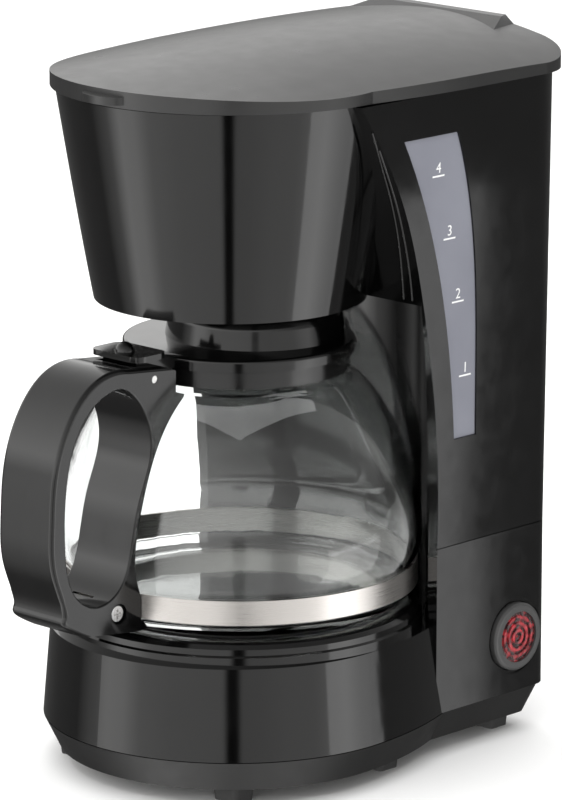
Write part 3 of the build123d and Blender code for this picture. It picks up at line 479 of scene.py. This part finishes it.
def mould_bead(name, route, side_sign):
    line = bpy.data.curves.new(name, "CURVE")
    line.dimensions = "3D"
    line.bevel_depth = bead_radius
    line.bevel_resolution = 3
    line.use_fill_caps = True
    spline = line.splines.new("NURBS")
    spline.points.add(len(route) - 1)
    for point, (x, y, z) in zip(spline.points, route):
        point.co = (side_sign * x, y, z, 1.0)
    spline.order_u = 3
    spline.use_endpoint_u = True
    bead = bpy.data.objects.new(name, line)
    pick_up(bead)
    bpy.ops.object.convert(target="MESH")
    bead.data.materials.append(gloss_black)
    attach(bead, "machine")


for which, route in bead_routes.items():
    mould_bead("wing_bead_right_" + which, route, 1)
    mould_bead("wing_bead_left_" + which, route, -1)
print("beads on each wing:", len(bead_routes))

# %% [markdown]
# ## Drip-stop spring
#
# The drip-stop spring is squeezed as its stem rises. It is the CAD coil again, as a piece of its own with its
# loose triangles joined up. Winding a new coil would give no better shape.

# %% Spring as its own piece
weld_distance = 0.000002


def copy_of_node(name, new_name):
    """A CAD node's mesh as a new object, with the loose triangles joined up."""
    piece = bpy.data.objects.new(new_name, nodes[name].data.copy())
    pick_up(piece)
    bpy.ops.object.mode_set(mode="EDIT")
    bpy.ops.mesh.select_all(action="SELECT")
    bpy.ops.mesh.remove_doubles(threshold=weld_distance)
    bpy.ops.mesh.select_all(action="DESELECT")
    bpy.ops.object.mode_set(mode="OBJECT")
    return piece


coil = copy_of_node("drip_stop_spring", "drip_stop_coil")
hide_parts("drip_stop_spring")
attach(coil, "machine")
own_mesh(coil)

# %% [markdown]
# ## Level scale
#
# The level scale is printed on the strip in white ink: a numeral over a short bar for each cup. Ink has almost
# no thickness, so each numeral is a text turned into a mesh a twentieth of a millimetre thick. The strip leans
# outwards as it rises, so every mark is laid into a small frame made from the strip's own slope.

# %% Printed level scale
ink, shader, principled = new_finish("white_ink", Specular_IOR_Level=0.3)
worn = shader.noise(900.0, 3.0)
feed(
    shader,
    principled,
    Base_Color=shader.tint(worn, grey(0.78), grey(0.92)),
    Roughness=worn * 0.2 + 0.45,
    Normal=shader.bump(worn, 0.00001),
)
ink_thickness = 0.00005
numeral_size = 0.0052
bar_length = 0.0060
bar_width = 0.0006
bar_edge = 0.00001
bar_drop = 0.0027
scale_places = {"4": (0.0316, 0.2127), "3": (0.0383, 0.1899), "2": (0.0437, 0.1669), "1": (0.0487, 0.1399)}


def lay_on_strip(mark, y, z):
    """Moves a flat mark, made at the origin facing +Z, on to the strip at that place, facing out."""
    share = (z - window_low.z) / strip_rise.z
    place = Vector((foot_x, y, window_low.z)) + strip_rise * share
    turn = Matrix((strip_across, strip_up, strip_out)).transposed().to_4x4()
    mark.data.transform(Matrix.Translation(place + strip_out * ink_thickness * 0.5) @ turn)
    mark.data.materials.append(ink)
    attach(mark, "machine")


def print_numeral(figure, y, z):
    bpy.ops.object.select_all(action="DESELECT")
    bpy.ops.object.text_add(location=(0.0, 0.0, 0.0))
    mark = bpy.context.object
    mark.data.body = figure
    mark.data.size = numeral_size
    mark.data.extrude = ink_thickness / 2
    mark.data.align_x = "CENTER"
    mark.data.align_y = "CENTER"
    bpy.ops.object.convert(target="MESH")
    mark.name = "level_numeral_" + figure
    lay_on_strip(mark, y, z)


def print_bar(figure, y, z):
    bpy.ops.object.select_all(action="DESELECT")
    bpy.ops.mesh.primitive_cube_add(size=1.0)
    mark = bpy.context.object
    mark.name = "level_bar_" + figure
    bpy.ops.object.mode_set(mode="EDIT")
    bpy.ops.transform.resize(value=(bar_length, bar_width, ink_thickness))
    bpy.ops.mesh.bevel(offset=bar_edge, segments=1)
    bpy.ops.object.mode_set(mode="OBJECT")
    lay_on_strip(mark, y, z)


for figure, (y, z) in scale_places.items():
    print_numeral(figure, y, z)
    print_bar(figure, y, z - bar_drop)
print("scale printed:", " ".join(scale_places))

# %% [markdown]
# ## The red lens
#
# A moulded lens with rings. The shape of the rings is real. The colour goes from the lens's own deep red in the
# valleys to a painted bright red glint on the rings, and a broken pattern of painted glints stands for the
# prisms inside. A faint emission makes these painted glints glow, as painted light in place of a lamp behind
# the lens.

# %% Lens
lens_ring_pitch = 0.0024
lens_low, lens_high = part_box("button_lens")
lens_centre = (lens_low + lens_high) / 2
# the emission paints a glow on the glints, though the lens is no lamp
lens_red, shader, principled = new_finish(
    "lens_red", Coat_Weight=0.6, Coat_Roughness=0.05, Emission_Strength=0.5
)
lens_radius = shader.length(shader.stretched((0.0, 1.0, 1.0), centre=tuple(lens_centre)))
lens_rings = (lens_radius * 2 * math.pi / lens_ring_pitch).maths("COSINE") * 0.5 + 0.5
# prism pattern: real bumps and roughness, and painted glints in the colour
prism_bumps_and_glints = shader.noise(420.0, 2.0)
# painted glints: the bright red on the rings and in the prism flecks stands in for light the lens catches
painted_glint = (lens_rings * 0.6 + prism_bumps_and_glints * 2.6 - 1.35).held()
feed(
    shader,
    principled,
    Base_Color=shader.tint(painted_glint, (0.030, 0.008, 0.009), (0.36, 0.030, 0.040)),
    Emission_Color=shader.tint(painted_glint, (0.0, 0.0, 0.0), (0.34, 0.012, 0.018)),
    Roughness=prism_bumps_and_glints * 0.12 + 0.12,
    Normal=shader.bump(prism_bumps_and_glints, 0.00015),
)
dress(lens_red, "button_lens")

# %% [markdown]
# ## Studio
#
# Gloss black shows nothing but its surroundings, so the studio is designed as a reflection. Two broad soft
# panels stand either side of the viewer with a narrow dark gap between them, brighter at their outer ends, and
# it is dark behind the machine. Above the horizon it is bright all round, and dims a little overhead and to the
# right. The world's direction vector is enough to paint this: its angle round from the viewer and its height.

# %% Soft surroundings
world = bpy.data.worlds.new("studio")
bpy.context.scene.world = world
world.use_nodes = True
sky = Shader(world.node_tree)
direction = sky.make("TexCoord", out=0)


def along(axis):
    """How far the direction looked in points along an axis, from -1 to 1."""
    return sky.make("VectorMath", out=1, settings={"operation": "DOT_PRODUCT"}, i0=direction, i1=tuple(axis))


ahead = along(to_viewer)
side = along(to_right)
rise = along(Vector((0.0, 0.0, 1.0)))
round_angle = side.maths("ARCTAN2", ahead) / (2 * math.pi) + 0.5

# degrees round from the viewer, to the right, and the brightness there
panel_stops = [
    (-180, 0.04), (-135, 0.05), (-108, 0.07), (-93, 0.32), (-82, 0.95), (-70, 0.95), (-58, 0.62), (-38, 0.54),
    (-6, 0.50), (-3, 0.0), (2.5, 0.0), (5, 0.40), (16, 0.42), (32, 0.48), (50, 0.50), (60, 0.62), (72, 0.66),
    (84, 0.28), (92, 0.08), (180, 0.04),
]
panel_light = 2.5
upper_light = 1.75
horizon_start = 0.04
horizon_depth = 0.16
ramp_stops = [((angle + 180) / 360, (level, level, level)) for angle, level in panel_stops]
panels = sky.make("ValToRGB", settings={"stops": ramp_stops}, Fac=round_angle)
above = ((rise - horizon_start) / horizon_depth).held()
upper = (1 - rise * 0.8) * (1 - side * 0.7) * upper_light
brightness = panels * panel_light * (1 - above) + above * upper
background = world.node_tree.nodes["Background"]
world.node_tree.links.new(brightness.socket, background.inputs["Strength"])
background.inputs["Color"].default_value = (1.0, 0.995, 0.985, 1.0)
print("stops round the room:", len(panel_stops))

# %% [markdown]
# The floor is a plain pale sheet that mirrors don't see. A broad lamp overhead lights it without showing in the
# gloss, and gives the soft shadow under the machine.

# %% Floor and overhead lamp
floor_size = 30.0
lamp_size = 2.6
lamp_height = 2.0
bpy.ops.object.select_all(action="DESELECT")
bpy.ops.mesh.primitive_plane_add(size=floor_size, location=(0.0, 0.0, 0.0))
floor = bpy.context.object
floor.name = "studio_floor"
paper, shader, principled = new_finish("floor_paper", Specular_IOR_Level=0.1)
fibres = shader.noise(3.0, 3.0)
feed(
    shader,
    principled,
    Base_Color=shader.tint(fibres, (0.90, 0.90, 0.895), (0.93, 0.93, 0.93)),
    Roughness=fibres * 0.1 + 0.8,
)
floor.data.materials.append(paper)
floor.visible_glossy = False


def soft_light(name, width, height, energy, place):
    """A rectangular light that shines but isn't seen by the camera."""
    light = bpy.data.lights.new(name, "AREA")
    light.shape = "RECTANGLE"
    light.size = width
    light.size_y = height
    light.energy = energy
    holder = bpy.data.objects.new(name, light)
    bpy.context.scene.collection.objects.link(holder)
    holder.location = place
    holder.visible_camera = False
    print(name, "at", place)
    return holder


overhead = soft_light("overhead", lamp_size, lamp_size, 60.0, (0.0, 0.0, lamp_height))
overhead.visible_glossy = False

# %% [markdown]
# The side of the column is flat, and a flat mirror shows only one spot of the room. A small card on that side
# puts a soft light band on its front half and leaves the rear half dark. The viewer looks slightly down, and an
# upright mirror sends that view on downwards, so the card hangs low, past the floor that mirrors don't see.

# %% Side card
card_place = (0.5, 0.315, -0.13)
card = soft_light("side_card", 0.34, 0.48, 0.75, card_place)
card.rotation_euler = (0.0, math.radians(90.0), 0.0)

# %% [markdown]
# ## Camera
#
# A long lens from well back keeps the verticals almost straight. It stands at the right front, higher than the
# lid, and looks slightly down.

# %% Viewpoint
camera_place = (1.2616, -1.2853, 0.5621)
camera_tilt = math.radians(76.409)
camera_data = bpy.data.cameras.new("camera")
camera_data.lens = 240.0
camera_data.sensor_width = 36.0
camera_data.clip_end = 50.0
camera = bpy.data.objects.new("camera", camera_data)
bpy.context.scene.collection.objects.link(camera)
camera.location = camera_place
camera.rotation_euler = (camera_tilt, 0.0, heading)
bpy.context.scene.camera = camera
bpy.context.scene.view_settings.view_transform = "Standard"
print("camera at", camera_place)
